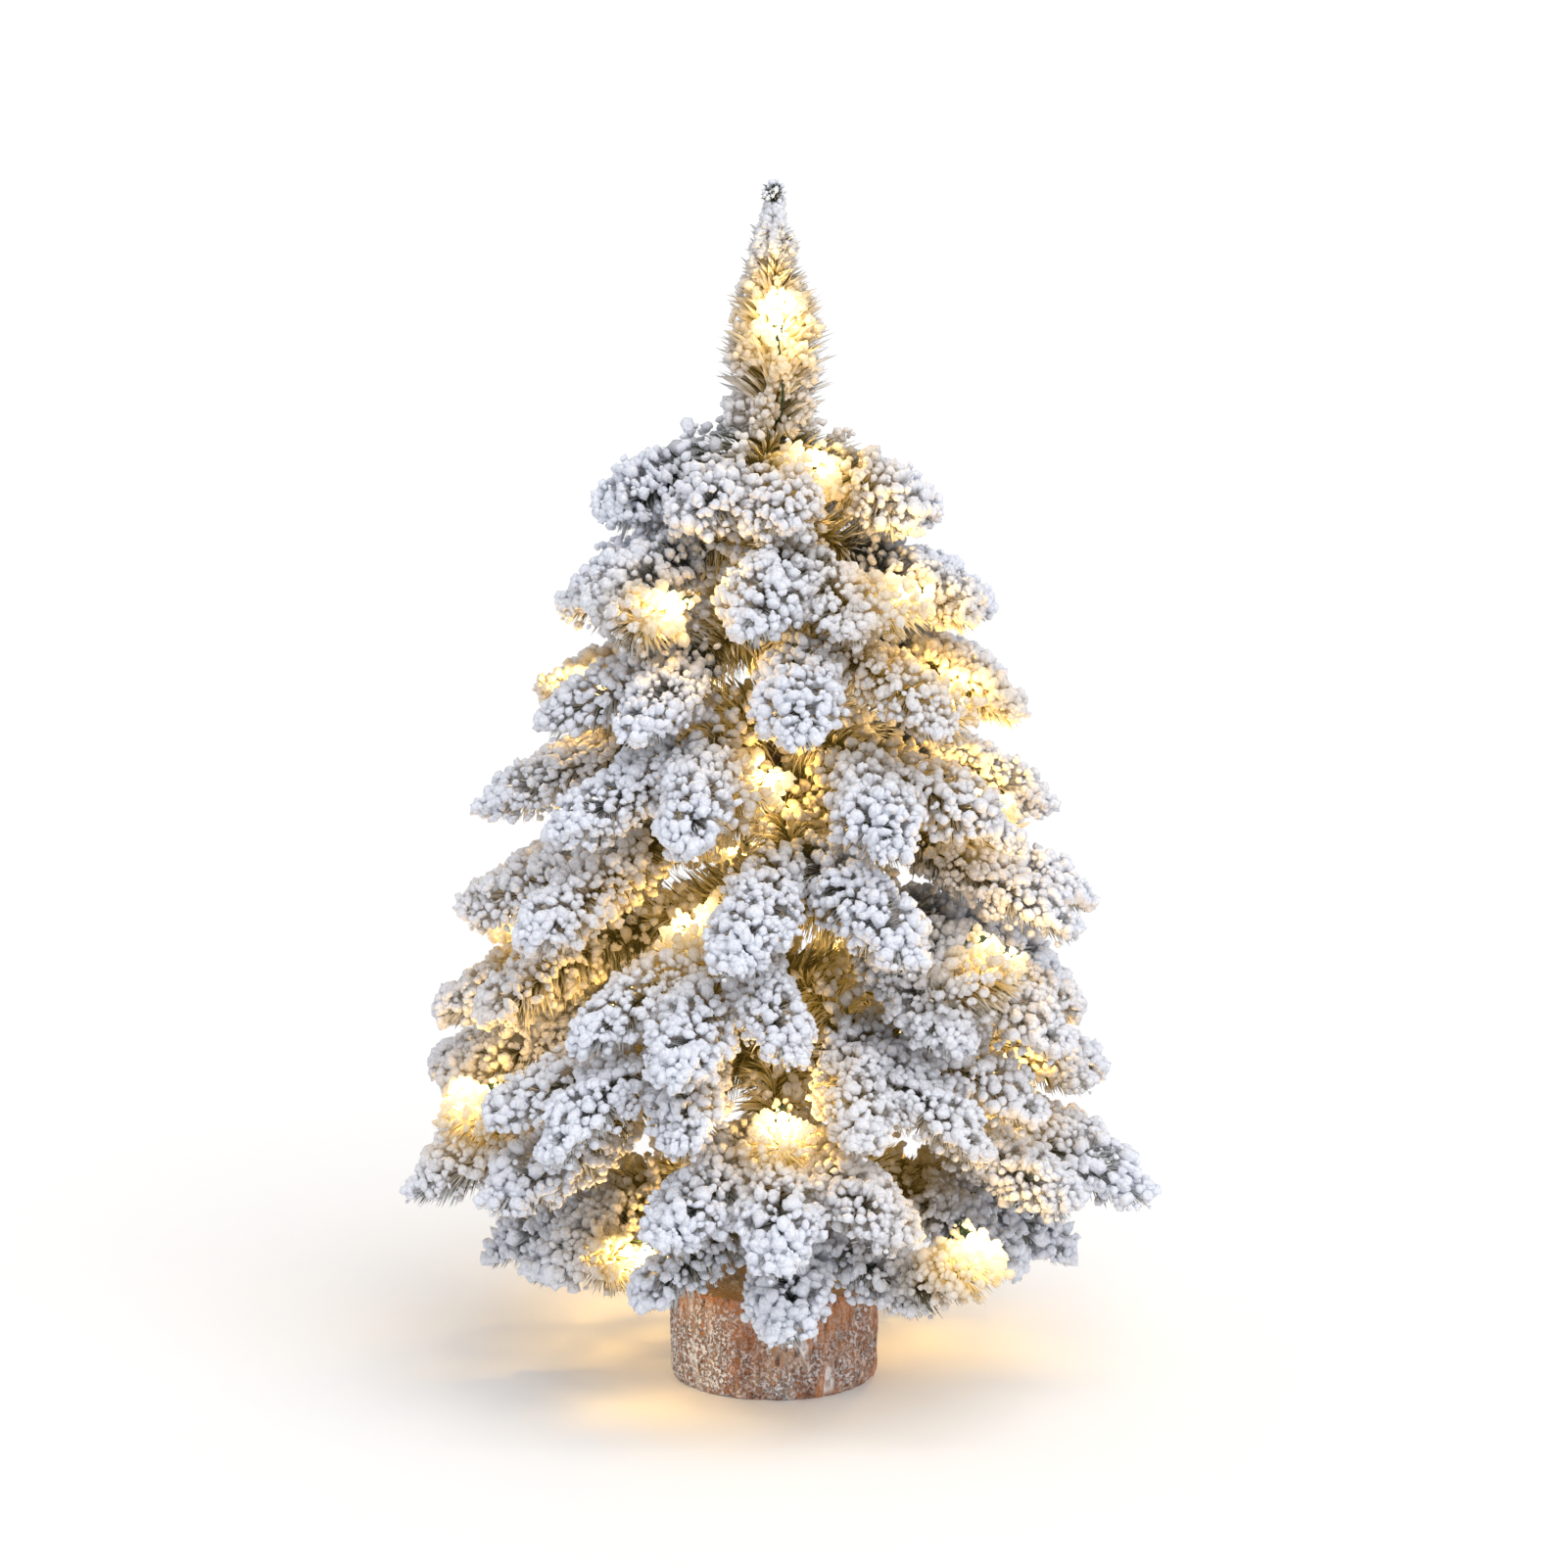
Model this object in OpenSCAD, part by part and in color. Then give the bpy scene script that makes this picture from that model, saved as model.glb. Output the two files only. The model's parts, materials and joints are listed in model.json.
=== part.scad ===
// Flocked tabletop tree, pre-lit, on a log-slice base.
// Millimetres, +Z up. The origin is the centre of the base's flat underside, and -Y is the front.
// Rows of branches are numbered from the bottom, and azimuths run from the front towards +X.

/* [Base] */
// Diameter of the log slice
log_d = 105; // [100:1:130]
// Height of the log slice
log_h = 50; // [44:1:70]
// Rounding of the log's edges
log_round = 4; // [2:0.5:6]

/* [Trunk] */
// Diameter of the steel core
core_d = 6; // [5:0.5:7]
// Thickness of the tape wound round the core
tape_t = 1; // [0.6:0.1:1.5]
// Height of the top of the core
core_top = 473; // [472:1:474]
// Gap between the trunk's tape and a branch's wire
root_gap = 1.2; // [1:0.1:1.6]

/* [Branches] */
// Width of a spray's stiff middle
spray_w = 22; // [14:1:24]
// Thickness of a spray's stiff middle
spray_h = 11; // [8:0.5:12]
// Where a branch forks, as a share of its reach
fork_at = 0.36; // [0.3:0.01:0.42]
// Reach of a three-tipped branch's side sprays, as a share of its own
side_reach = 0.9; // [0.8:0.01:0.95]
// Most that a branch's height strays from its row
stray_z = 2; // [0:0.5:3]
// Most that a branch's azimuth strays, in degrees
stray_az = 2; // [0:0.5:3]
// Most that a branch's reach strays, as a share of it
stray_reach = 0.03; // [0:0.01:0.05]

/* [Leader] */
// Height of the tip of the tree
tree_h = 600; // [590:1:620]
// Widest radius of the leader
leader_r = 21; // [16:1:24]

/* [Lights] */
// Diameter of a bulb
bulb_d = 5; // [4:0.5:6]
// Length of a bulb's straight part
bulb_l = 6; // [4:0.5:8]
// Diameter of the light string's wire
wire_d = 1.8; // [1.4:0.1:2]

/* [Battery compartment] */
// Wall thickness of the compartment
box_wall = 1.8; // [1.5:0.1:2]
// Depth of the compartment's rim inside the underside
box_inset = 1.2; // [1:0.1:1.5]
// Diameter of a cell
cell_d = 14.2; // [13.5:0.1:14.2]
// Length of a cell
cell_l = 50.5; // [49:0.1:50.5]

/* [Hidden] */
$fn = 48;
play = 0.05;                        // radial play round a fixed pin or rod

// [height on the trunk, reach, fall to the tips, branches, tips, first azimuth, half the fork's angle]
ROWS = [
    [115, 147, 53, 4, 3,   0, 29],
    [165, 186, 59, 5, 3,   0, 20],
    [208, 178, 61, 5, 3,  36, 20],
    [251, 168, 64, 5, 3, -17, 20],
    [296, 154, 57, 5, 2,   8, 16],
    [340, 139, 52, 5, 2, -31, 16],
    [385, 120, 47, 5, 2,  22, 17],
    [430, 103, 42, 5, 2,   5, 15],
    [470,  78, 36, 4, 2, -11, 19]
];

// [row, height, azimuth, distance from the trunk's axis] of each bulb
BULBS = [
    [1,  80,  -45,  86], [1,  78,  135, 100], [1,  80, -135, 100],
    [2, 104,   36, 157], [2, 122,  180, 140], [2, 124,  108, 130], [2, 124, -108, 130],
    [3, 160,    2, 118], [3, 166,   72, 107], [3, 156,  -72, 146], [3, 166,  144, 120],
    [4, 205,  -50,  80], [4, 206,  163, 120], [4, 206, -125, 118],
    [5, 246,  -28,  72], [5, 240,   44, 144], [5, 234, -100, 121], [5, 252,  188, 115],
    [6, 313,   -1,  62], [6, 300,   77, 100], [6, 300,  149, 104], [6, 300, -139, 104],
    [7, 352,   58,  88], [7, 352,  -86,  85], [7, 352, -158,  90],
    [8, 404,   41,  90], [8, 397,  -31,  84], [8, 402, -175,  80],
    [9, 460,   30,  28]
];

// Trunk
tape_r = core_d / 2 + tape_t;
core_low = 24;                      // the core's foot, in a blind bore in the log
tape_top = core_top - 2;
tape_low = log_h + 0.3;
pivot_r = tape_r + root_gap;        // where a branch's wire leaves the trunk and bends

// Branch sprays: places along a spray, and its width and thickness there as shares
SPRAY_AT = [0, 0.34, 0.78, 1];
SPRAY_W = [0.3, 0.92, 1, 0.34];
SPRAY_H = [0.45, 0.95, 1, 0.42];
slab = 0.6;                         // length of the thin slabs that the hulls join
stem_d = 3.2;                       // the wire with its needles, at the trunk
stem_d_fork = 6.5;                  // and at the fork

// Leader: heights above its root and radii as shares of the widest
leader_z = core_top + 0.8;
leader_len = tree_h - leader_z;
LEADER = [[0, 0.1], [0.09, 0.1], [0.13, 0.45], [0.27, 0.95], [0.5, 1], [0.64, 0.55],
          [0.73, 0.72], [0.9, 0.35], [1, 0.1]];
leader_bulb_z = 527;

// Light string
ring_r = tape_r + 0.3 + wire_d / 2; // the string's turn round the trunk at a row
ring_drop = 10;                     // how far below the branches' roots it lies
drop_short = 0.475 * wire_d;        // how far short of a bulb's foot the middle of its wire ends
lead_x = 14;                        // where the lead comes up through the log
lead_y = 23;
lead_bore_d = 4;

// Battery compartment, in the log's underside
box_x = 63;                         // outside length, along the cells
bay_y = 44.7;                       // inside width of the three cells' bay
switch_y = 9.2;                     // inside width of the switch's bay
part_t = 1.5;                       // thickness of the wall between the bays
box_y = bay_y + part_t + switch_y + 2 * box_wall;
box_top = 20;
box_gap = 0.5;                      // between the box and the log, on each side
in_x = box_x / 2 - box_wall;        // inside half length
bay_low = -box_y / 2 + box_wall;    // the cells' bay, in Y
bay_high = bay_low + bay_y;
switch_low = bay_high + part_t;     // the switch's bay, in Y
switch_high = box_y / 2 - box_wall;
switch_mid = (switch_low + switch_high) / 2;
floor_top = box_inset + 1.8;        // top of the switch bay's floor
cover_t = 1.8;
cover_z = box_inset + 0.05;
cover_top = cover_z + cover_t;
hinge_x = -in_x + 1.1;              // the cover's hinge line, along Y
hinge_z = cover_z + cover_t / 2;
hinge_pin_r = 0.6;
lip = 0.5;                          // play between the cover and the bay's walls
cell_pitch = cell_d + 0.4;
cell_z = cover_top + 0.35 + cell_d / 2;
cell_mid = (bay_low + bay_high) / 2;
plate_t = 0.4;
nub_l = 1;                          // the raised contact on a cell's positive end
spring_l = 2 * in_x - 2 * plate_t - cell_l - 0.3;
screw_x = 26.5;
screw_r = 1.5;
screw_top = box_top + 9;
board_z = 8;
board_t = 1.2;
slot_x = 9.4;                       // the switch's slot in the floor
slot_y = 3.8;
switch_rest = -2;                   // the knob's place when the lights are on

function stray(k, most) = most * sin(k * 137.5);
function branch_name(r, i) = str("row", r + 1, "_branch_", i + 1);
function key(r, i) = 7 * r + 3 * i + 1;
function row_azimuth(r, i) = ROWS[r][5] + i * 360 / ROWS[r][3] + stray(key(r, i), stray_az);
function row_height(r, i) = ROWS[r][0] + stray(key(r, i) + 2, stray_z);
function row_reach(r, i) = ROWS[r][1] * (1 + stray(key(r, i) + 5, stray_reach));
function from_front(az) = az - 90;  // an azimuth as an angle from +X
function polar(r, az, z) = [r * cos(from_front(az)), r * sin(from_front(az)), z];

ROOT_NODES = ["base_log", "trunk_core", "trunk_tape", "battery_box", "battery_cells",
              "battery_springs", "contact_plates", "control_board", "box_screws",
              "light_wire", "led_bulbs", "battery_cover", "power_switch", "leader",
              "leader_bulb"];

// ---- base and trunk ----

// A quarter round at an edge, as points about its centre
function edge(c, from, to) = [for (k = [0:4]) let (a = from + (to - from) * k / 4)
                              c + log_round * [cos(a), sin(a)]];

module log_blank() {
    r = log_d / 2;
    rotate_extrude($fn = 96)
        polygon(concat([[0, 0]], edge([r - log_round, log_round], -90, 0),
                       edge([r - log_round, log_h - log_round], 0, 90), [[0, log_h]]));
}

module base_log() {
    color("peru") difference() {
        log_blank();
        translate([-box_x / 2 - box_gap, -box_y / 2 - box_gap, -1])
            cube([box_x + 2 * box_gap, box_y + 2 * box_gap, box_top + box_gap + 1]);
        translate([0, 0, core_low]) cylinder(r = core_d / 2 + play, h = log_h);
        translate([lead_x, lead_y, box_top]) cylinder(d = lead_bore_d, h = log_h);
        for (s = [-1, 1])
            translate([s * screw_x, switch_mid, box_top]) cylinder(r = screw_r + play, h = 10);
    }
}

module trunk_core() {
    color("gray") translate([0, 0, core_low]) cylinder(d = core_d, h = core_top - core_low);
}

module trunk_tape() {
    color("saddlebrown") translate([0, 0, tape_low]) difference() {
        cylinder(r = tape_r, h = tape_top - tape_low);
        translate([0, 0, -1]) cylinder(r = core_d / 2 + play, h = core_top);
    }
}

// ---- branches ----

// A thin upright slab across +X, with eight sides
module pad(w, h) {
    rotate([0, 90, 0]) linear_extrude(slab, center = true) scale([h / 2, w / 2]) circle(1, $fn = 8);
}

module spray(from, to) {
    run = norm([to.x - from.x, to.y - from.y]);
    fall = from.z - to.z;
    translate(from) rotate([0, 0, atan2(to.y - from.y, to.x - from.x)])
        for (k = [0:len(SPRAY_AT) - 2]) hull() for (j = [k, k + 1])
            translate([run * SPRAY_AT[j], 0, -fall * pow(SPRAY_AT[j], 1.2)])
                pad(spray_w * SPRAY_W[j], spray_h * SPRAY_H[j]);
}

// The bare part of a branch, from the trunk to its fork
module stem(fork) {
    mid = fork / 2;
    hull() {
        pad(stem_d, stem_d);
        translate(mid) pad(stem_d_fork * 0.8, stem_d_fork * 0.8);
    }
    hull() {
        translate(mid) pad(stem_d_fork * 0.8, stem_d_fork * 0.8);
        translate(fork) pad(stem_d_fork, stem_d_fork);
    }
}

module branch(r, i) {
    reach = row_reach(r, i);
    fall = ROWS[r][2];
    half = ROWS[r][6];
    fork = [fork_at * reach - pivot_r, 0, -fall * fork_at * 0.8];
    side = ROWS[r][4] == 3 ? reach * side_reach : reach;
    side_fall = ROWS[r][4] == 3 ? fall * side_reach : fall;
    color(r % 2 == 0 ? "whitesmoke" : "lightsteelblue")
        translate(polar(pivot_r, row_azimuth(r, i), row_height(r, i)))
            rotate([0, 0, from_front(row_azimuth(r, i))]) union() {
                stem(fork);
                for (s = [-1, 1])
                    spray(fork, [side * cos(half) - pivot_r, s * side * sin(half), -side_fall]);
                if (ROWS[r][4] == 3) spray(fork - [2, 0, -0.5], [reach - pivot_r, 0, -fall]);
            }
}

module leader() {
    color("white") translate([0, 0, leader_z]) rotate_extrude($fn = 12)
        polygon(concat([[0, 0]], [for (p = LEADER) [p[1] * leader_r, p[0] * leader_len]],
                       [[0, leader_len]]));
}

// ---- lights ----

module bulb() {
    cylinder(d = bulb_d, h = bulb_l);
    translate([0, 0, bulb_l]) sphere(d = bulb_d);
}

// Stands its children, drawn along +Z, at the end of the line between two points
module at_end(from, to) {
    d = to - from;
    translate(to) rotate([0, acos(d.z / norm(d)), atan2(d.y, d.x)]) children();
}

function bulb_at(b) = polar(b[3], b[2], b[1]);
function bulb_root(b) = polar(ring_r, b[2], ROWS[b[0] - 1][0] - ring_drop);
function bulb_way(b) = (bulb_at(b) - bulb_root(b)) / norm(bulb_at(b) - bulb_root(b));

module led_bulbs() {
    color("gold") for (b = BULBS) at_end(bulb_root(b), bulb_at(b)) bulb();
}

module wire(from, to) {
    hull() for (p = [from, to]) translate(p) sphere(d = wire_d, $fn = 4);
}

module light_wire() {
    foot = [lead_x, lead_y, board_z + board_t + wire_d / 2 + 0.1];
    out = [lead_x, lead_y, log_h + 2];
    climb = [0, ring_r + 0.4, log_h + 16];
    color("darkgreen") {
        wire(foot, out);
        wire(out, climb);
        wire(climb, [0, ring_r, ROWS[0][0] - ring_drop]);
        for (row = ROWS) translate([0, 0, row[0] - ring_drop]) rotate_extrude($fn = 18)
            translate([ring_r, 0]) circle(d = wire_d, $fn = 5);
        for (b = BULBS) wire(bulb_root(b), bulb_at(b) - drop_short * bulb_way(b));
    }
}

module leader_bulb() {
    color("gold") translate([2, -leader_r - bulb_d / 2 - 0.2, leader_bulb_z]) bulb();
}

// ---- battery compartment ----

module battery_box() {
    color("darkslategray") difference() {
        translate([-box_x / 2, -box_y / 2, box_inset]) cube([box_x, box_y, box_top - box_inset]);
        translate([-in_x, bay_low, 0]) cube([2 * in_x, bay_y, box_top - box_wall]);
        translate([-in_x, switch_low, floor_top])
            cube([2 * in_x, switch_y, box_top - box_wall - floor_top]);
        translate([-slot_x / 2, switch_mid - slot_y / 2, 0]) cube([slot_x, slot_y, 5]);
        translate([hinge_x, bay_low - 1.2, hinge_z]) rotate([-90, 0, 0])
            cylinder(r = hinge_pin_r + play, h = bay_y + 2.2);
        translate([lead_x, lead_y, 10]) cylinder(d = 3, h = 15);
        for (s = [-1, 1]) translate([s * screw_x, switch_mid, 10]) cylinder(r = 1.7, h = 15);
    }
}

module battery_cover() {
    color("dimgray") {
        translate([hinge_x, bay_low + lip, cover_z])
            cube([in_x - hinge_x - lip, bay_y - 2 * lip, cover_t]);
        translate([hinge_x, bay_low + lip, hinge_z]) rotate([-90, 0, 0])
            cylinder(d = cover_t, h = bay_y - 2 * lip);
        translate([hinge_x, bay_low - 1, hinge_z]) rotate([-90, 0, 0])
            cylinder(r = hinge_pin_r, h = bay_y + 1.8);
    }
}

// Which end of each cell is positive: +1 or -1
function cell_way(i) = i % 2 == 0 ? 1 : -1;
function cell_y(i) = cell_mid + (i - 1) * cell_pitch;

module battery_cells() {
    start = -in_x + plate_t + spring_l + 0.1;
    color("steelblue") for (i = [0:2]) translate([0, cell_y(i), cell_z]) rotate([0, 90 * cell_way(i), 0]) {
        translate([0, 0, start]) cylinder(d = cell_d, h = cell_l - nub_l);
        translate([0, 0, start]) cylinder(d = 5.5, h = cell_l);
    }
}

// A tube swept along a helix about +Z
module coil(r, turns, length, d) {
    sides = 5;
    steps = 12 * turns;
    function at(k) = let (a = 360 * k / 12) [r * cos(a), r * sin(a), d / 2 + (length - d) * k / steps];
    points = [for (k = [0:steps]) for (s = [0:sides - 1])
              let (a = 360 * k / 12, b = 360 * s / sides)
              at(k) + d / 2 * [cos(b) * cos(a), cos(b) * sin(a), sin(b)]];
    walls = [for (k = [0:steps - 1]) for (s = [0:sides - 1]) let (t = (s + 1) % sides)
             [k * sides + s, k * sides + t, (k + 1) * sides + t, (k + 1) * sides + s]];
    ends = [[for (s = [0:sides - 1]) sides - 1 - s], [for (s = [0:sides - 1]) steps * sides + s]];
    polyhedron(points, concat(walls, ends));
}

module battery_springs() {
    color("silver") for (i = [0:2]) translate([0, cell_y(i), cell_z])
        rotate([0, 90 * cell_way(i), 0]) translate([0, 0, -in_x + plate_t + 0.05])
            coil(4, 4, spring_l - 0.1, 0.7);
}

module contact_plates() {
    plate_w = cell_pitch - 3;
    color("silver") for (end = [-1, 1]) for (i = [0:2])
        translate([end * (in_x - plate_t / 2), cell_y(i), cell_z])
            cube([plate_t - 0.02, plate_w, 10], center = true);
}

module control_board() {
    color("seagreen") {
        translate([-22, switch_low + 0.3, board_z]) cube([44, switch_y - 0.6, board_t]);
        translate([-6.5, switch_mid - 3, 4.2]) cube([13, 6, board_z - 4.2]);
        translate([-16, switch_mid - 2, board_z + board_t]) cube([5, 4, 1.6]);
    }
}

module power_switch() {
    color("black") translate([switch_rest, switch_mid, 0]) {
        translate([-4, -2.4, floor_top + 0.15]) cube([8, 4.8, 0.9]);
        translate([-1.5, -1.5, box_inset + 0.2]) cube([3, 3, floor_top - box_inset]);
    }
}

module box_screws() {
    color("silver") for (s = [-1, 1]) translate([s * screw_x, switch_mid, 0]) {
        translate([0, 0, box_top - box_wall - 2]) cylinder(d = 5.4, h = 1.95);
        translate([0, 0, box_top - box_wall - 1]) cylinder(r = screw_r, h = screw_top - box_top + box_wall + 1);
    }
}

// ---- nodes ----

base_log();
trunk_core();
trunk_tape();
battery_box();
battery_cells();
battery_springs();
contact_plates();
control_board();
box_screws();
light_wire();
led_bulbs();
battery_cover();
power_switch();
leader();
leader_bulb();
for (r = [0:len(ROWS) - 1]) for (i = [0:ROWS[r][3] - 1])
    branch(r, i);
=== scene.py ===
"""The looks of a flocked, pre-lit tabletop tree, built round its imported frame.

Metres, +Z up, -Y is the front. Each branch of the frame gets a twisted wire, a brush of needles and a crust
of flock, made from a few brush patterns that are bent along the branch's own sprays.
"""
import json
from math import cos, pi, radians, sin, sqrt, tau

import bmesh
import bpy
import numpy as np
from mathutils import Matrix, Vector, noise


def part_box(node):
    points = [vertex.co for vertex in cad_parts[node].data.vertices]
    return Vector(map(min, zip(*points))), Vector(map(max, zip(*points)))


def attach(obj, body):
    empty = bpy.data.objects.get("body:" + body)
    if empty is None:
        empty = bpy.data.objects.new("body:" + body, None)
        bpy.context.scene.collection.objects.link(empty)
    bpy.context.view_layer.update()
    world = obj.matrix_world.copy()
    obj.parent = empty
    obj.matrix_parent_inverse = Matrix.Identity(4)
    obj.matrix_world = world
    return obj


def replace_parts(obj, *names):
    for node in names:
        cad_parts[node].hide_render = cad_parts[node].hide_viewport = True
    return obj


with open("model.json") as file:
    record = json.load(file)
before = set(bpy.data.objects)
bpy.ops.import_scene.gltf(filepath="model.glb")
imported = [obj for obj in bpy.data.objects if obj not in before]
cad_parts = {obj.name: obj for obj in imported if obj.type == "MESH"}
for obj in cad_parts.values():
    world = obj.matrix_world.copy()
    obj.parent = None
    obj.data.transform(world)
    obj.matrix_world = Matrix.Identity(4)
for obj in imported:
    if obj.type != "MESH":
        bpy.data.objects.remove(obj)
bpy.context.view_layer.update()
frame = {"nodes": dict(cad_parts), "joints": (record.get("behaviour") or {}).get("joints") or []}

MM = 0.001
UP = np.array([0.0, 0.0, 1.0])
TREE_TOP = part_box("leader")[1].z

# ---- camera, floor and light ----

CAMERA_LENS = 85            # mm, on a 36 mm sensor
CAMERA_DISTANCE = 1.84
CAMERA_ELEVATION = 8        # degrees above the level
AIM = Vector((0.005, 0, 0.301))


def new_object(name, data):
    thing = bpy.data.objects.new(name, data)
    bpy.context.scene.collection.objects.link(thing)
    return thing


def make_camera():
    data = bpy.data.cameras.new("camera")
    data.lens = CAMERA_LENS
    data.sensor_width = 36
    camera = new_object("camera", data)
    away = Vector((0, -cos(radians(CAMERA_ELEVATION)), sin(radians(CAMERA_ELEVATION))))
    camera.location = AIM + away * CAMERA_DISTANCE
    camera.rotation_euler = (-away).to_track_quat("-Z", "Y").to_euler()
    bpy.context.scene.camera = camera


def add_light(name, kind, energy, colour, place, size):
    data = bpy.data.lights.new(name, kind)
    data.energy = energy
    data.color = colour
    data.shadow_soft_size = size
    light = new_object(name, data)
    light.location = place
    return light


def make_studio():
    """A white surround that is dimmer overhead and below, and one broad soft light from above the front."""
    world = bpy.data.worlds.new("studio")
    bpy.context.scene.world = world
    world.use_nodes = True
    tree = world.node_tree
    way = tree.nodes.new("ShaderNodeTexCoord").outputs["Generated"]
    split = tree.nodes.new("ShaderNodeSeparateXYZ")
    tree.links.new(way, split.inputs[0])
    height = tree.nodes.new("ShaderNodeMath")
    height.operation = "ABSOLUTE"
    tree.links.new(split.outputs[2], height.inputs[0])
    fade = tree.nodes.new("ShaderNodeMapRange")
    fade.interpolation_type = "SMOOTHSTEP"
    for key, value in (("From Min", 0.22), ("From Max", 0.6), ("To Min", 1.06), ("To Max", 0.55)):
        fade.inputs[key].default_value = value
    tree.links.new(height.outputs[0], fade.inputs["Value"])
    background = tree.nodes["Background"]
    background.inputs["Color"].default_value = (0.985, 0.99, 1.0, 1)
    tree.links.new(fade.outputs[0], background.inputs["Strength"])
    sun = add_light("soft_sun", "SUN", 2.0, (1.0, 0.985, 0.96), (0, 0, 1), 0.1)
    sun.data.angle = radians(60)
    sun.rotation_euler = Vector((-0.35, 0.75, -1.0)).to_track_quat("-Z", "Y").to_euler()


make_camera()
make_studio()
bpy.context.scene.view_settings.view_transform = "Standard"

# ---- materials ----


class Nodes:
    """A short way to write a node material."""

    def __init__(self, name):
        self.material = bpy.data.materials.new(name)
        self.material.use_nodes = True
        self.tree = self.material.node_tree
        self.shader = self.tree.nodes["Principled BSDF"]
        self.output = self.tree.nodes["Material Output"]

    def add(self, kind, inputs=None, **settings):
        node = self.tree.nodes.new(kind)
        for key, value in settings.items():
            setattr(node, key, value)
        for key, value in (inputs or {}).items():
            self.feed(node.inputs[key], value)
        return node

    def feed(self, socket, value):
        if hasattr(value, "links"):
            self.tree.links.new(value, socket)
        else:
            socket.default_value = value

    def set(self, **values):
        """Values or links for the shader's sockets, by name with _ for a space."""
        for key, value in values.items():
            self.feed(self.shader.inputs[key.replace("_", " ")], value)

    def place(self, scale=(1, 1, 1)):
        where = self.add("ShaderNodeTexCoord").outputs["Object"]
        return self.add("ShaderNodeMapping", {"Vector": where, "Scale": scale}).outputs[0]

    def noise(self, scale, detail=3, rough=0.6, at=None, distort=0.0):
        inputs = {"Scale": scale, "Detail": detail, "Roughness": rough, "Distortion": distort,
                  "Vector": at or self.place()}
        return self.add("ShaderNodeTexNoise", inputs).outputs["Fac"]

    def attribute(self, name):
        return self.add("ShaderNodeAttribute", attribute_name=name).outputs["Fac"]

    def between(self, value, low, high, to_low=0.0, to_high=1.0):
        inputs = {"Value": value, "From Min": low, "From Max": high, "To Min": to_low, "To Max": to_high}
        return self.add("ShaderNodeMapRange", inputs, clamp=True).outputs[0]

    def math(self, operation, a, b=0.0):
        node = self.add("ShaderNodeMath", operation=operation)
        self.feed(node.inputs[0], a)
        self.feed(node.inputs[1], b)
        return node.outputs[0]

    def mix(self, share, first, second):
        node = self.add("ShaderNodeMix", data_type="RGBA")
        self.feed(node.inputs[0], share)
        for socket, value in ((node.inputs[6], first), (node.inputs[7], second)):
            self.feed(socket, value if hasattr(value, "links") else (*value, 1))
        return node.outputs[2]

    def bump(self, height, strength, distance, normal=None):
        inputs = {"Height": height, "Strength": strength, "Distance": distance}
        if normal is not None:
            inputs["Normal"] = normal
        return self.add("ShaderNodeBump", inputs).outputs[0]


FLOCK_FILL = 0.045          # strength of the painted glow (emission) that stands for daylight scattered inside the flock


def add_glow(n, colour, fill, gain=1.0):
    """Paints the bulbs' light on a surface by its glow attribute: a painted gold tint in its colour, and a
    painted glow (emission) for the bulbs' light scattered in it.

    fill is the strength of the painted glow that stands for daylight scattered in it, and gain is its share
    of the painted glow of the bulbs' light.
    """
    glow = n.attribute("glow")
    # painted light: the colour is tinted gold where the bulbs' light falls
    tint = n.mix(n.between(glow, 0.01, 0.12), (1.0, 1.0, 1.0), (0.93, 0.80, 0.60))
    n.set(Base_Color=n.add("ShaderNodeMix", {0: 1.0, 6: colour, 7: tint}, data_type="RGBA",
                           blend_type="MULTIPLY").outputs[2])
    # painted glow: gold emission by the glow attribute, and bluish emission for painted daylight where it is
    # low
    gold = n.mix(n.between(glow, 0.1, 0.9), (1.0, 0.56, 0.07), (1.0, 0.83, 0.40))
    n.set(Emission_Color=n.mix(n.between(glow, 0.0, 0.05), (0.80, 0.88, 1.0), gold))
    n.set(Emission_Strength=n.math("MAXIMUM", n.math("MULTIPLY", glow, gain), fill))
    n.material.cycles.emission_sampling = "NONE"


def flock_material():
    """White flock: powdery crumbs with painted shade: a little darker inside the brush, and bluish-grey
    specks of painted shade as in pits between crumbs.
    """
    n = Nodes("flock")
    deep = n.between(n.attribute("depth"), 0.0, 1.0)
    tone = n.mix(n.noise(60, 2), (0.68, 0.71, 0.80), (0.80, 0.83, 0.91))
    # painted shade: bluish-grey specks as in pits between crumbs
    pit_shade = n.between(n.noise(700, 3, 0.7), 0.38, 0.5, 0.6, 0.0)
    tone = n.mix(pit_shade, tone, (0.55, 0.57, 0.64))
    # painted shade: dark crumbs inside the brush, by their depth attribute
    shade = n.mix(n.noise(500, 3), (0.10, 0.10, 0.08), (0.34, 0.34, 0.33))
    # painted light: the painted daylight glow fades away inside the brush
    add_glow(n, n.mix(deep, tone, shade), n.between(deep, 0.0, 0.5, FLOCK_FILL, 0.0))
    n.set(Roughness=0.95, Specular_IOR_Level=0.12)
    n.set(Normal=n.bump(n.noise(650, 3, 0.65), 0.75, 1.6 * MM, n.bump(n.noise(1800, 3, 0.7), 0.4, 0.4 * MM)))
    return n.material


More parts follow.
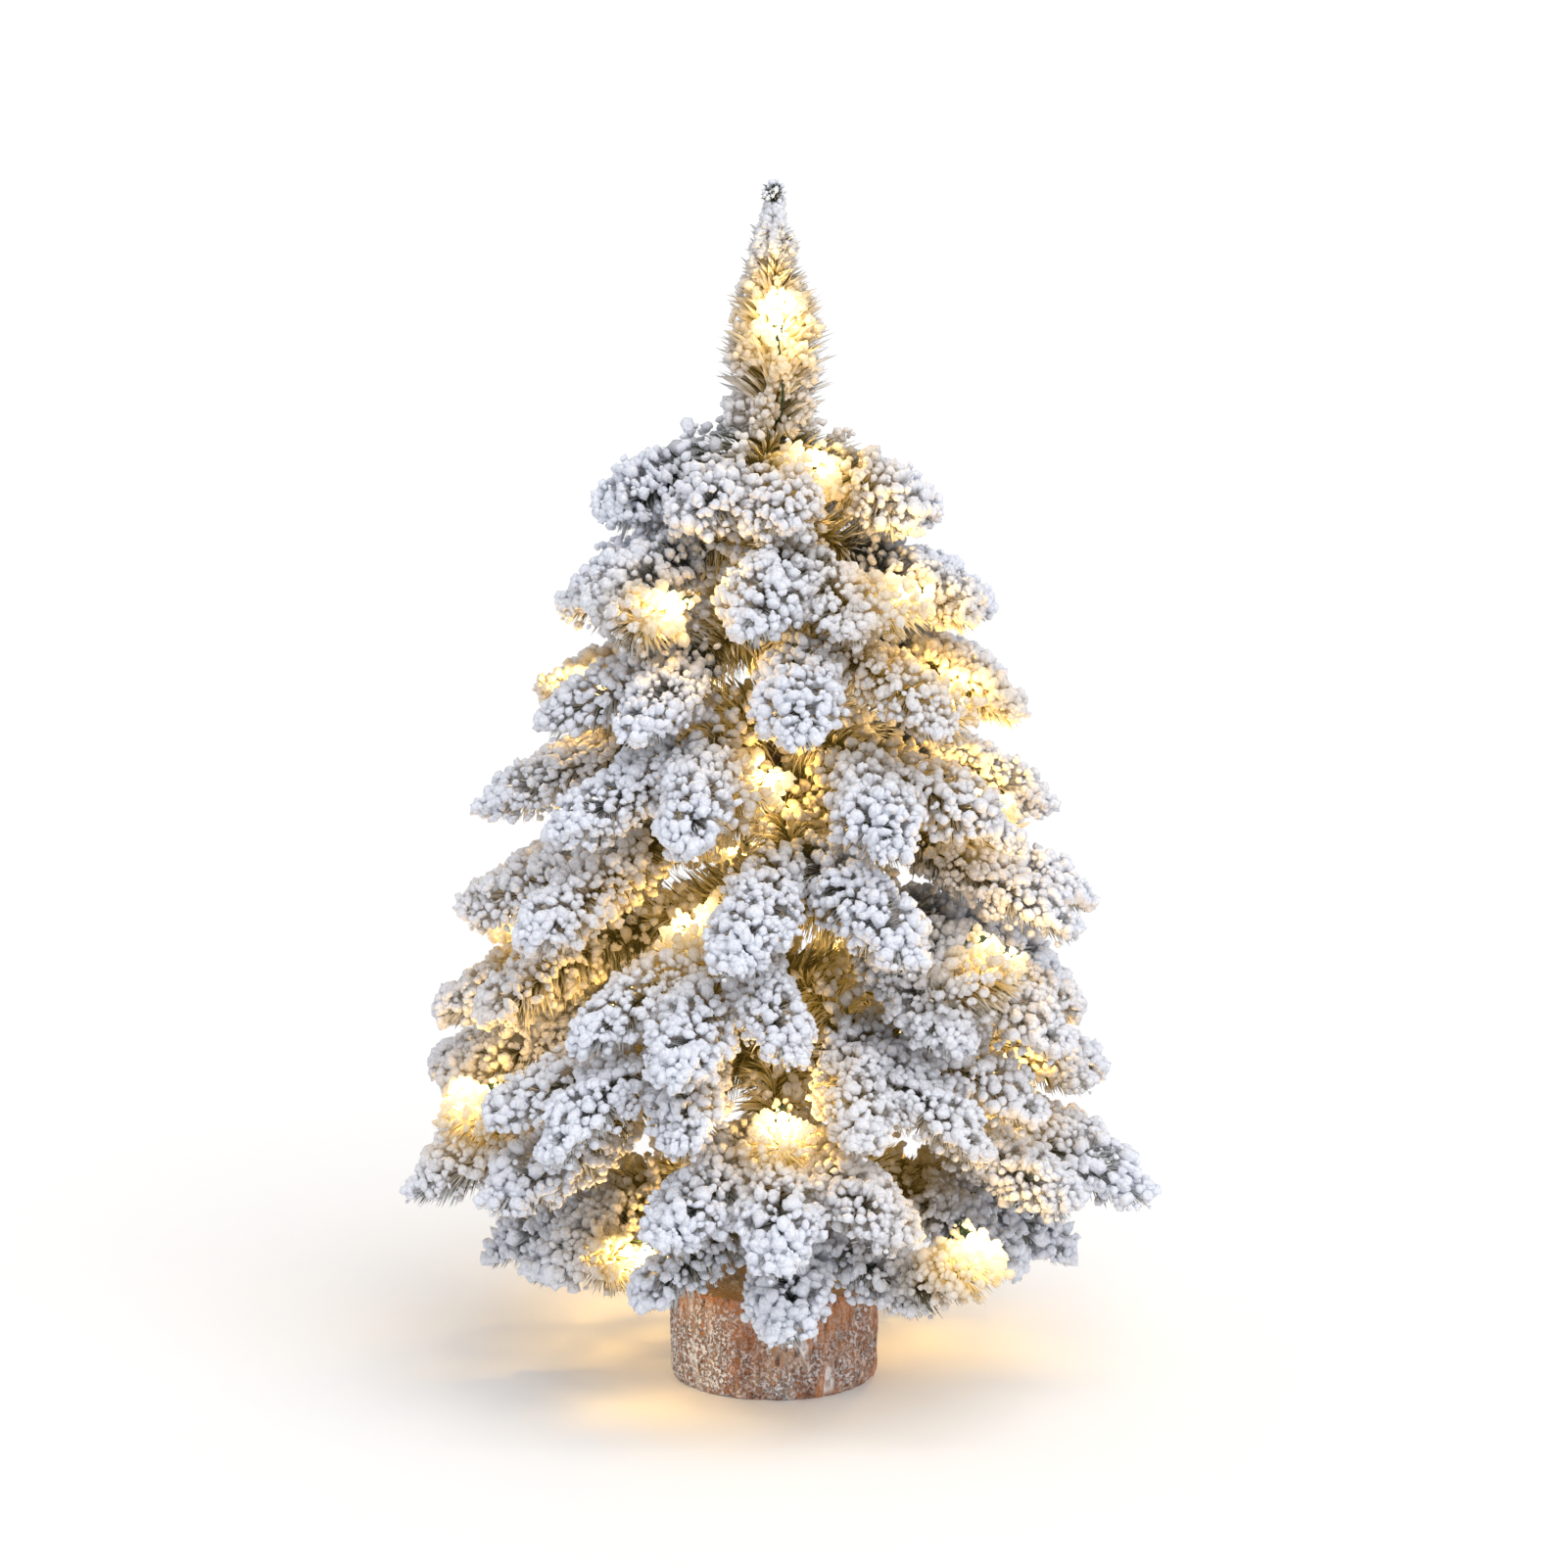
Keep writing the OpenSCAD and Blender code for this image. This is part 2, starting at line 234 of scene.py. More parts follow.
def needle_material():
    """PVC needles: green at the root, dusted white towards the end, with a painted glow round the bulbs."""
    n = Nodes("needles")
    green = n.mix(n.noise(300, 2), (0.016, 0.022, 0.008), (0.06, 0.07, 0.022))
    dust = n.math("MULTIPLY", n.attribute("frost"), n.between(n.noise(900, 4, 0.7), 0.3, 0.62, 0.35, 1.3))
    white = n.mix(n.noise(700, 2), (0.50, 0.51, 0.53), (0.74, 0.75, 0.78))
    # painted glow: frosted needles take more of it
    gain = n.between(n.attribute("frost"), 0.05, 1.0, 0.35, 1.9)
    add_glow(n, n.mix(n.between(dust, 0.2, 0.85), green, white), 0.0, gain)
    n.set(Roughness=0.7)
    n.set(Specular_IOR_Level=0.35, Normal=n.bump(n.noise(1600, 2), 0.3, 0.3 * MM))
    return n.material


def coated_wire_material():
    n = Nodes("coated_wire")
    tone = n.mix(n.noise(400, 3), (0.012, 0.035, 0.016), (0.035, 0.075, 0.03))
    n.set(Base_Color=tone, Roughness=n.between(n.noise(900), 0.3, 0.7, 0.35, 0.6))
    n.set(Normal=n.bump(n.noise(1500, 2), 0.2, 0.2 * MM))
    return n.material


def tape_material():
    n = Nodes("trunk_tape")
    tone = n.mix(n.noise(250, 4, at=n.place((1, 1, 0.25))), (0.045, 0.026, 0.014), (0.13, 0.08, 0.045))
    n.set(Base_Color=tone, Roughness=0.8, Normal=n.bump(n.noise(1200, 4), 0.5, 0.4 * MM))
    return n.material


def bulb_material():
    """A lit warm-white lens."""
    n = Nodes("warm_led")
    n.set(Base_Color=(1.0, 0.85, 0.6, 1), Roughness=0.25, Emission_Color=(1.0, 0.66, 0.27, 1))
    n.set(Emission_Strength=n.between(n.noise(300, 1), 0.0, 1.0, 26, 34))
    return n.material


def plastic_material(name, dark, light, rough):
    n = Nodes(name)
    n.set(Base_Color=n.mix(n.noise(200, 2), dark, light))
    n.set(Roughness=n.between(n.noise(600, 3), 0.3, 0.7, rough - 0.08, rough + 0.08))
    n.set(Normal=n.bump(n.noise(2600, 2), 0.25, 0.15 * MM))
    return n.material


def metal_material(name, dark, light, rough, stretch=(1, 1, 1)):
    n = Nodes(name)
    at = n.place(stretch)
    n.set(Base_Color=n.mix(n.noise(300, 3, at=at), dark, light), Metallic=1.0)
    n.set(Roughness=n.between(n.noise(500, 3, at=at), 0.3, 0.7, rough - 0.1, rough + 0.1))
    n.set(Normal=n.bump(n.noise(1500, 2, at=at), 0.15, 0.1 * MM))
    return n.material


FLOCK = flock_material()
NEEDLES = needle_material()
COATED_WIRE = coated_wire_material()
LED = bulb_material()

# ---- mesh helpers ----


def mesh_piece(name, verts, faces, material, body, attributes=None):
    """A smooth mesh object from arrays, riding on a body.

    faces is one array, or a list of arrays of one width each. attributes holds one value a vertex, by name.
    """
    groups = [np.asarray(f) for f in (faces if isinstance(faces, list) else [faces]) if len(f)]
    mesh = bpy.data.meshes.new(name)
    mesh.vertices.add(len(verts))
    mesh.vertices.foreach_set("co", np.asarray(verts, np.float32).ravel())
    sizes = np.concatenate([np.full(len(f), f.shape[1]) for f in groups])
    corners = np.concatenate([f.ravel() for f in groups]).astype(np.int32)
    mesh.loops.add(len(corners))
    mesh.loops.foreach_set("vertex_index", corners)
    mesh.polygons.add(len(sizes))
    mesh.polygons.foreach_set("loop_start", np.concatenate([[0], np.cumsum(sizes)[:-1]]).astype(np.int32))
    mesh.polygons.foreach_set("use_smooth", np.full(len(sizes), True))
    for key, values in (attributes or {}).items():
        mesh.attributes.new(key, "FLOAT", "POINT").data.foreach_set("value", np.asarray(values, np.float32))
    mesh.update(calc_edges=True)
    mesh.validate()
    mesh.materials.append(material)
    piece = new_object(name, mesh)
    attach(piece, body)
    return piece


class Heap:
    """Vertices, one value a vertex, and faces, gathered from many small meshes."""

    def __init__(self):
        self.verts, self.values, self.faces, self.count = [], [], {}, 0

    def add(self, verts, values, faces):
        """faces are arrays of one width each, numbered from the heap's own first vertex."""
        for group in faces:
            self.faces.setdefault(group.shape[1], []).append(group)
        self.verts.append(verts)
        self.values.append(values)
        self.count += len(verts)

    def add_solid(self, verts, *faces):
        """A mesh whose faces are numbered from its own first vertex."""
        self.add(verts, np.zeros(len(verts)), [np.asarray(f) + self.count for f in faces])

    def piece(self, name, material, body, slot, attribute=None):
        """The heap as one piece. An attribute takes its values, and the painted glow is added."""
        verts = np.concatenate(self.verts)
        held = {attribute: np.concatenate(self.values), "glow": glow_at(verts)} if attribute else None
        faces = [np.concatenate(f) for f in self.faces.values()]
        return mesh_piece(name, verts, faces, material, body, held)


def unit(v):
    return v / np.linalg.norm(v, axis=-1, keepdims=True)


def ring_walls(rings, sides):
    """Quads between rings of points, one after another."""
    k = np.arange(rings - 1)[:, None] * sides
    s = np.arange(sides)[None, :]
    t = (s + 1) % sides
    return np.stack([k + s, k + t, k + sides + t, k + sides + s], -1).reshape(-1, 4)


def ring_caps(rings, sides):
    """Fans that close the first and last ring, round the two points after the rings."""
    last, centre = (rings - 1) * sides, rings * sides
    caps = [[centre, (j + 1) % sides, j] for j in range(sides)]
    caps += [[centre + 1, last + j, last + (j + 1) % sides] for j in range(sides)]
    return np.array(caps)


BRUSH_WIRE = {"sides": 8, "lobes": 2, "twist": 900}      # strands, and radians a metre
STRING_WIRE = {"sides": 6, "lobes": 2, "twist": 700}
LOBE_DEPTH = 0.28           # depth of a twisted wire's ridges, as a share of its radius


def tube(points, radius, sides, lobes, twist):
    """A closed tube along points, with the ridges of a twisted wire."""
    points = np.asarray(points, float)
    along = unit(np.gradient(points, axis=0))
    first = np.cross(along, UP if abs(along[0][2]) < 0.9 else np.array([1.0, 0, 0]))
    side = unit(first)
    top = np.cross(side, along)
    radius = np.broadcast_to(radius, len(points))
    length = np.concatenate([[0], np.cumsum(np.linalg.norm(np.diff(points, axis=0), axis=1))])
    angle = tau * np.arange(sides) / sides
    turn = angle[None, :] + twist * length[:, None]
    size = radius[:, None] * (1 + LOBE_DEPTH * np.cos(lobes * angle)[None, :])
    rings = points[:, None] + size[..., None] * (np.cos(turn)[..., None] * side[:, None]
                                                 + np.sin(turn)[..., None] * top[:, None])
    verts = np.concatenate([rings.reshape(-1, 3), points[:1], points[-1:]])
    return verts, ring_walls(len(points), sides), ring_caps(len(points), sides)


def add_tube(heap, *args, **kinds):
    heap.add_solid(*tube(*args, **kinds))


def ball(level):
    """Vertices and triangles of a unit ico sphere."""
    bm = bmesh.new()
    bmesh.ops.create_icosphere(bm, subdivisions=level, radius=1)
    verts = np.array([v.co for v in bm.verts])
    faces = np.array([[v.index for v in f.verts] for f in bm.faces])
    bm.free()
    return verts, faces


CRUMB = ball(1)


# ---- brush patterns ----

WIRE_R = 0.75 * MM          # radius of the light string's wire
NEEDLE = 22.5 * MM          # length of a needle
NEEDLE_W = 0.8 * MM         # its width at the root
PER_MM = 8.2                # needles on each millimetre of a spray's wire
STEM_PER_MM = 8.5           # and of a stem's
TIP_CRUMBS = 30             # lumps of flock that close a spray's end
OVERSHOOT = 13 * MM         # how far the needles reach past the wire's end
CLUMP = 95                  # clumps of needles and flock in a metre, as a noise scale
GOLDEN = pi * (3 - sqrt(5))  # the turn from one needle to the next


def needle_ways(rng, share, around, spread):
    """Unit directions for needles along +X: nearly square to the wire, and forward at its end."""
    lean = 62 - 42 * np.clip((share - 0.7) / 0.3, 0, 1) ** 1.2 + rng.normal(0, 6.0, len(share))
    lean = np.radians(lean)
    radial = np.stack([0 * around, np.cos(around), spread * np.sin(around)], 1)
    return np.cos(lean)[:, None] * np.array([1.0, 0, 0]) + np.sin(lean)[:, None] * radial


def needle_reach(share, length):
    """A needle's length: short at the brush's root and end."""
    grow = 0.6 + 0.4 * np.clip(share / 0.22, 0, 1)
    end = 1 - 0.32 * np.clip((share - 0.8) / 0.2, 0, 1)
    return length * grow * end


def around_ways(rng, ways, count=3):
    """Unit directions square to each of ways, in even steps round it."""
    side = unit(np.cross(ways, rng.normal(size=ways.shape)))
    other = np.cross(ways, side)
    return [np.cos(a) * side + np.sin(a) * other for a in tau * np.arange(count) / count]


class Bits:
    """Many copies of one small shape: their points, the values at them, and the shape's faces."""

    def __init__(self, points, values, faces):
        self.points, self.values, self.faces = points, values, faces

    def add_to(self, heap, laid=None, flip=1):
        """Adds the copies that don't hide a bulb, moved by laid, and turned over if they're mirrored."""
        count, corners = self.points.shape[:2]
        points = self.points if laid is None else laid(self.points.reshape(-1, 3)).reshape(self.points.shape)
        shown = ~hides_bulb(points[:, -1])
        points, values = points[shown], self.values[shown]
        start = corners * np.arange(len(points))[:, None, None] + heap.count
        heap.add(points.reshape(-1, 3), values.ravel(), [(f[None, :, ::flip] + start).reshape(-1, f.shape[1])
                                                         for f in self.faces])


def spikes(rng, roots, ways, lengths):
    """Plain three-sided needles, white towards the end, for under the flock."""
    w = NEEDLE_W * rng.uniform(0.8, 1.3, len(roots))[:, None]
    ring = [roots + w / 2 * r for r in around_ways(rng, ways)]
    points = np.stack(ring + [roots + lengths[:, None] * ways], 1)
    frost = np.tile([0.35, 0.35, 0.35, 1.8], (len(roots), 1))
    return Bits(points, frost, [np.array([[2, 1, 0], [0, 1, 3], [1, 2, 3], [2, 0, 3]])])


def bare_needles(rng, roots, ways, lengths, coated=0.4, width=NEEDLE_W, coat=(1.5, 2.6)):
    """Closed three-sided needles, a little bent. Coated ones are fat with flock, by the factors of coat."""
    count = len(roots)
    ring = around_ways(rng, ways)
    w = width * rng.uniform(0.75, 1.2, count)[:, None]
    thick = rng.uniform(0, 1, count) < coated
    fat = np.where(thick, rng.uniform(*coat, count), 0.9)[:, None]
    middle = roots + 0.62 * lengths[:, None] * ways
    end = roots + lengths[:, None] * ways - UP * (0.06 * lengths)[:, None]
    points = np.stack([roots + w / 2 * r for r in ring] + [middle + w / 2 * fat * r for r in ring] + [end], 1)
    middle_frost = np.where(thick, 1.2, rng.uniform(0.0, 0.6, count))
    end_frost = np.where(thick, 1.2, rng.uniform(0.2, 1.0, count))
    frost = np.stack([np.where(thick, 0.4, 0.03)] * 3 + [middle_frost] * 3 + [end_frost], 1)
    return Bits(points, frost, [np.array([[0, 1, 4, 3], [1, 2, 5, 4], [2, 0, 3, 5]]),
                                np.array([[2, 1, 0], [3, 4, 6], [4, 5, 6], [5, 3, 6]])])


def crumbs(rng, centres, sizes, depth):
    """Uneven lumps of flock."""
    count = len(centres)
    uneven = 1 + rng.normal(0, 0.16, (count, len(CRUMB[0]), 1))
    stretch = np.exp(rng.normal(0, 0.18, (count, 1, 3)))
    spin = unit(rng.normal(size=(count, 4)))
    w, v = spin[:, :1, None], spin[:, None, 1:]
    spun = CRUMB[0] + 2 * np.cross(v, np.cross(v, CRUMB[0][None]) + w * CRUMB[0])
    points = centres[:, None] + spun * uneven * stretch * sizes[:, None, None]
    return Bits(points, np.repeat(depth[:, None], len(CRUMB[0]), 1), [CRUMB[1]])


class Brush:
    """One pattern of brush along +X, from 0 to its length: needles, and flock on the ends of most."""

    def __init__(self, seed, length, radius=NEEDLE, spread=0.82, per_mm=PER_MM, bare=0.0,
                 overshoot=OVERSHOOT):
        rng = np.random.default_rng(seed)
        self.length = length
        wire = length - overshoot
        count = int(per_mm * length / MM)
        share = np.clip((np.arange(count) + rng.uniform(-1, 2, count)) / count, 0.01, 1)
        around = np.arange(count) * GOLDEN + rng.normal(0, 0.25, count)
        ways = needle_ways(rng, share * (1 if overshoot else 0.6), around, spread)
        roots = share[:, None] * [wire, 0, 0]
        full = needle_reach(share, radius)
        ends = roots + ways * full[:, None]
        clump = np.array([noise.noise(Vector(p) * CLUMP + Vector((0, 0, seed * 7.3))) for p in ends])
        lengths = full * (0.9 + 0.32 * clump + rng.uniform(-0.08, 0.08, count))
        upper = 0.5 + 0.5 * np.sin(around)
        cover = np.clip(0.08 + 1.5 * upper, 0, 1) * np.clip(2.3 * share, 0, 1) - bare
        cover *= np.clip(1.0 + 1.2 * clump, 0.5, 1)
        girth = np.linalg.norm(ways[:, 1:], axis=1) * lengths / radius
        cover *= np.clip(girth * 1.4 + 0.15, 0, 1)
        crusted = rng.uniform(0, 1, count) < cover
        second = crusted & (share > 0.2) & (rng.uniform(0, 1, count) < 0.32)
        size = (1.2 + 2.4 * rng.beta(1.3, 2.3, count)) * (0.88 + 0.26 * upper) * MM
        outer = roots + ways * (lengths * 0.95)[:, None]
        inner = roots + ways * (lengths * 0.74)[:, None]
        # depth sets the painted shade of the crumbs: darker near the wire, and at least 0.45 in the inner
        # layer
        deep = 0.75 * np.clip(1 - share / 0.42, 0, 1)
        self.flock = [crumbs(rng, outer[crusted], size[crusted], deep[crusted]),
                      crumbs(rng, inner[second], 0.85 * size[second], np.maximum(deep, 0.45)[second])]
        if overshoot:
            self.flock.append(self.tip(rng, wire, overshoot, radius))
        self.needles = [spikes(rng, roots[crusted], ways[crusted], lengths[crusted]),
                        bare_needles(rng, roots[~crusted], ways[~crusted], lengths[~crusted])]
        for bits, held in zip(self.needles, (crusted, ~crusted)):
            bits.values *= np.clip(share[held] / 0.5, 0.15, 1)[:, None]

    @staticmethod
    def tip(rng, wire, overshoot, radius):
        """Lumps that close the brush's end."""
        past = np.linspace(-0.35, 0.85, TIP_CRUMBS)
        around = np.arange(TIP_CRUMBS) * GOLDEN
        out = (1 - past) * rng.uniform(0.05, 0.36, TIP_CRUMBS) * radius
        at = np.stack([wire + past * overshoot, out * np.cos(around), out * np.sin(around)], 1)
        return crumbs(rng, at, rng.uniform(1.4, 2.8, TIP_CRUMBS) * MM, 0 * past)


LENGTHS = [38 * MM, 52 * MM, 68 * MM, 84 * MM, 100 * MM, 116 * MM]
BRUSHES = {length: [Brush(100 * i + j, length) for j in range(3)] for i, length in enumerate(LENGTHS)}
STEMS = {length * MM: [Brush(700 + length + j, length * MM, 1.2 * NEEDLE, 0.95, STEM_PER_MM, 0.55, 0)
                       for j in range(2)] for length in (24, 36, 48, 60)}

# ---- lights on the tree ----

BULB_ROOM = 5 * MM          # radius kept clear of needles and flock round a bulb
BULB_VIEW = 30 * MM         # length of the way out kept clear in front of it
BULB_WIDEN = 0.16           # how fast that way widens
GLOW = 0.20                 # watts of each bulb
GLOW_COLOUR = (1.0, 0.58, 0.13)

# The painted glow that stands for the light scattered round a bulb, as strengths and the radii over which
# they fade
GLOW_AHEAD = 6 * MM         # how far in front of the bulb its middle is
GLOW_CORE, GLOW_CORE_R = 1.6, 12 * MM
GLOW_WIDE, GLOW_WIDE_R = 0.42, 15 * MM
GLOW_MOST = 1.3             # the most that near bulbs add up to
GLOW_INNER = 0.09           # the faint painted glow all through the inside of the tree
GLOW_TOP = 0.475            # height where that ends
TREE_HEIGHTS, TREE_RADII = [0.06, 0.12, 0.47, 0.6], [0.13, 0.18, 0.05, 0.03]
LEADER_SPREAD = 1.25        # how far the leader bulb's painted glow reaches, against 1 for a plain bulb


def islands(mesh):
    """The vertices of each separate part of a mesh. Vertices at one place count as joined."""
    verts = np.array([v.co for v in mesh.vertices])
    group = np.unique(np.round(verts, 6), axis=0, return_inverse=True)[1].ravel()
    group = np.unique(group, return_index=True)[1][group]
    twins = np.stack([np.arange(len(verts)), group], 1)
    ends = np.concatenate([[e.vertices[:] for e in mesh.edges], twins])
    group = np.arange(len(verts))
    while True:
        low = np.minimum(group[ends[:, 0]], group[ends[:, 1]])
        new = group.copy()
        np.minimum.at(new, ends[:, 0], low)
        np.minimum.at(new, ends[:, 1], low)
        new = new[new]
        if (new == group).all():
            break
        group = new
    return [verts[group == g] for g in np.unique(group)]


class Bulb:
    """A bulb of the frame: the middle of its foot, its direction and its length."""

    # how far its painted glow reaches
    spread = 1.0

    def __init__(self, verts):
        centre = (verts.min(0) + verts.max(0)) / 2
        way = np.linalg.svd(verts - verts.mean(0), full_matrices=False)[2][0]
        outward = centre * [1, 1, 0] + UP * 0.001
        self.way = way * np.sign(way @ outward)
        along = (verts - centre) @ self.way
        self.foot = centre + self.way * along.min()
        self.length = along.max() - along.min()
        self.middle = self.foot + self.way * self.length / 2
        self.view = unit(unit(centre * [1, 1, 0]) + 0.25 * UP)


BULBS = [Bulb(v) for v in islands(frame["nodes"]["led_bulbs"].data)]
LEADER_BULB = Bulb(islands(frame["nodes"]["leader_bulb"].data)[0])
LEADER_BULB.way = UP
LEADER_BULB.spread = LEADER_SPREAD
for number, bulb in enumerate(BULBS):
    bulb.spread = 0.85 + 0.45 * (number * 0.618 % 1)


def hides_bulb(points):
    """True for the points too near a bulb, or in the widening way out in front of it."""
    hit = np.linalg.norm(points - LEADER_BULB.middle, axis=1) < BULB_ROOM
    for bulb in BULBS:
        away = points - bulb.middle
        along = away @ bulb.view
        off = np.linalg.norm(away - along[:, None] * bulb.view, axis=1)
        hit |= np.linalg.norm(away, axis=1) < BULB_ROOM
        hit |= (along > 0) & (along < BULB_VIEW) & (off < BULB_ROOM + BULB_WIDEN * along)
    return hit


def glow_at(points):
    """The painted glow at each point, for the bulbs' light scattered there: strong round every bulb, and
    faint all through the inside.
    """
    near = np.zeros(len(points))
    for bulb in BULBS + [LEADER_BULB]:
        away = np.linalg.norm(points - bulb.middle - bulb.view * GLOW_AHEAD, axis=1) / bulb.spread
        near += GLOW_CORE * np.exp(-(away / GLOW_CORE_R) ** 2) + GLOW_WIDE * np.exp(-away / GLOW_WIDE_R)
    girth = np.interp(points[:, 2], TREE_HEIGHTS, TREE_RADII)
    inner = 1 - np.clip((np.hypot(points[:, 0], points[:, 1]) / girth - 0.25) / 0.4, 0, 1)
    below = np.clip((GLOW_TOP - points[:, 2]) / (30 * MM), 0, 1)
    return np.minimum(near, GLOW_MOST) + GLOW_INNER * inner * below


def turned(profile, foot, way, sides=14):
    """A shape of revolution about a line: profile is pairs of height and radius."""
    side = unit(np.cross(way, [0.3, 0.5, 1.0] if abs(way[2]) < 0.9 else [1.0, 0, 0]))
    other = np.cross(way, side)
    heights, radii = np.array(profile).T
    angle = tau * np.arange(sides) / sides
    rings = (foot + heights[:, None, None] * way + radii[:, None, None]
             * (np.cos(angle)[None, :, None] * side + np.sin(angle)[None, :, None] * other))
    return rings.reshape(-1, 3), ring_walls(len(profile), sides)


# Height and radius in mm along the bulb, from the foot of its lens
LENS = [(0.0, 0.1), (0.0, 2.1), (0.5, 2.35), (3.0, 2.4), (5.2, 2.2), (6.6, 1.7), (7.6, 1.0), (8.2, 0.35),
        (8.3, 0.02)]
HUSK = [(-7.0, 0.2), (-7.0, 0.9), (-6.2, 1.5), (-4.6, 2.0), (-4.5, 2.5), (-3.9, 2.5), (-3.8, 2.1),
        (-1.2, 2.3), (-0.2, 2.75), (0.9, 2.8), (1.0, 2.5), (0.3, 2.3), (0.2, 0.2)]
HUSK_END = 6.6 * MM         # how far below the foot the wire goes in
HUSK_CRUMBS = 22            # lumps of flock caught on each bulb's holder


def make_bulbs(name, bulbs, body, node):
    """Lit lenses, their holders with caught flock, and a light in front of each."""
    lenses, husks, flock = Heap(), Heap(), Heap()
    rng = np.random.default_rng(len(bulbs))
    for number, bulb in enumerate(bulbs):
        lenses.add_solid(*turned(np.array(LENS) * MM, bulb.foot, bulb.way))
        husks.add_solid(*turned(np.array(HUSK) * MM, bulb.foot, bulb.way))
        ring = np.tile(bulb.way, (HUSK_CRUMBS, 1))
        side = around_ways(rng, ring, 1)[0] * rng.uniform(2.6, 4.2, HUSK_CRUMBS)[:, None] * MM
        at = bulb.foot - ring * rng.uniform(0, 9, HUSK_CRUMBS)[:, None] * MM + side
        lumps = crumbs(rng, at, rng.uniform(1.0, 2.1, HUSK_CRUMBS) * MM, 0 * at[:, 0])
        starts = len(CRUMB[0]) * np.arange(HUSK_CRUMBS)[:, None, None]
        flock.add_solid(lumps.points.reshape(-1, 3), (CRUMB[1][None] + starts).reshape(-1, 3))
        glow = add_light(f"{name}_glow_{number + 1}", "POINT", GLOW, GLOW_COLOUR,
                         bulb.foot + bulb.way * (bulb.length + 3.5 * MM), 3 * MM)
        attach(glow, body)
    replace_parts(lenses.piece(name, LED, body, "warm_led"), node)
    husks.piece(name + "_husks", COATED_WIRE, body, "wire_green")
    flock.piece(name + "_flock", FLOCK, body, "flocked_needles", "depth")


make_bulbs("bulb_lenses", BULBS, "stand", "led_bulbs")
make_bulbs("leader_lens", [LEADER_BULB], "leader", "leader_bulb")

# ---- branches ----

FORK_AT = 0.36              # the fork's place, as a share of the branch's reach
STEM_R, SPRAY_R = 1.1 * MM, 0.9 * MM                    # radii of their wires
TWIG_PAST = 20 * MM         # how far a bulb's twig reaches past it
TWIG_LIFT = 4 * MM          # the most it bows up or down to pass under the bulb


class Path:
    """A wire's line from its start to its end, falling faster towards its end.

    sway and lift bow it sideways and up by so much at its middle.
    """

    def __init__(self, start, end, sway=0.0, lift=0.0):
        self.start, self.end = start, end
        self.sway, self.lift = sway, lift
        self.side = unit(np.cross(UP, end - start))

    def at(self, share):
        share = np.asarray(share)[:, None]
        run = (self.end - self.start) * [1, 1, 0]
        fall = (self.start - self.end)[2]
        bow = np.sin(pi * np.clip(share, 0, 1))
        return (self.start + run * share - UP * fall * np.abs(share) ** 1.2 * np.sign(share)
                + self.side * self.sway * bow + UP * self.lift * bow)

    def bend(self, verts, length):
        """Points drawn along +X, from 0 to length, laid along the path."""
        share = verts[:, 0] / length
        at = self.at(np.clip(share, 0, None))
        along = unit(self.at(np.clip(share, 0, None) + 0.02) - at)
        side = unit(np.cross(UP, along))
        top = np.cross(along, side)
        back = np.minimum(verts[:, 0], 0)[:, None] * along
        return at + back + verts[:, 1:2] * side + verts[:, 2:3] * top


class Branch:
    """A branch of the frame: its pivot, its own axes, its fork and its tips."""

    def __init__(self, joint, number):
        rng = np.random.default_rng(500 + number)
        self.name = joint["child"]
        self.pivot = np.array(joint["pos_m"])
        self.out = np.cross(UP, unit(np.array(joint["axis"])))
        self.side = np.cross(UP, self.out)
        verts = np.array([v.co for v in frame["nodes"][self.name].data.vertices])
        flat = verts * [1, 1, 0]
        reach = np.linalg.norm(flat, axis=1)
        angle = np.degrees(np.arctan2(flat @ self.side, flat @ self.out))
        tips = []
        for held in (angle > 6, angle < -6, abs(angle) < 5):
            far = reach[held].max()
            if far > 0.82 * reach.max():
                tips.append(verts[held][reach[held] > far - 1.2 * MM].mean(0))
        longest = max(tips, key=lambda t: np.hypot(t[0], t[1]))
        full = np.hypot(longest[0], longest[1])
        fall = self.pivot[2] - longest[2]
        self.fork = self.out * FORK_AT * full + UP * (self.pivot[2] - 0.8 * FORK_AT * fall)
        self.stem = Path(self.pivot - self.out * 1.5 * MM, self.fork)
        self.sprays = []
        for tip in tips:
            beyond = tip + unit(tip - self.fork) * 4 * MM
            self.sprays.append(Path(self.fork, beyond, rng.normal(0, 3 * MM), rng.normal(0, 2 * MM)))
        self.twigs = []


def place_brush(brush, path, rng, needles, flock, roll=18):
    """Adds a brush along a path: turned by up to roll degrees, mirrored at random, and scaled in width."""
    roll = radians(rng.uniform(-roll, roll))
    wide = rng.uniform(0.92, 1.1)
    flip = rng.choice([-1, 1])
    turn = np.array([[1, 0, 0], [0, cos(roll), -sin(roll)], [0, sin(roll), cos(roll)]])
    scale = np.array([1, flip * wide, wide])

    def laid(verts):
        return path.bend((verts * scale) @ turn.T, brush.length)

    for bits in brush.needles:
        bits.add_to(needles, laid, flip)
    for bits in brush.flock:
        bits.add_to(flock, laid, flip)


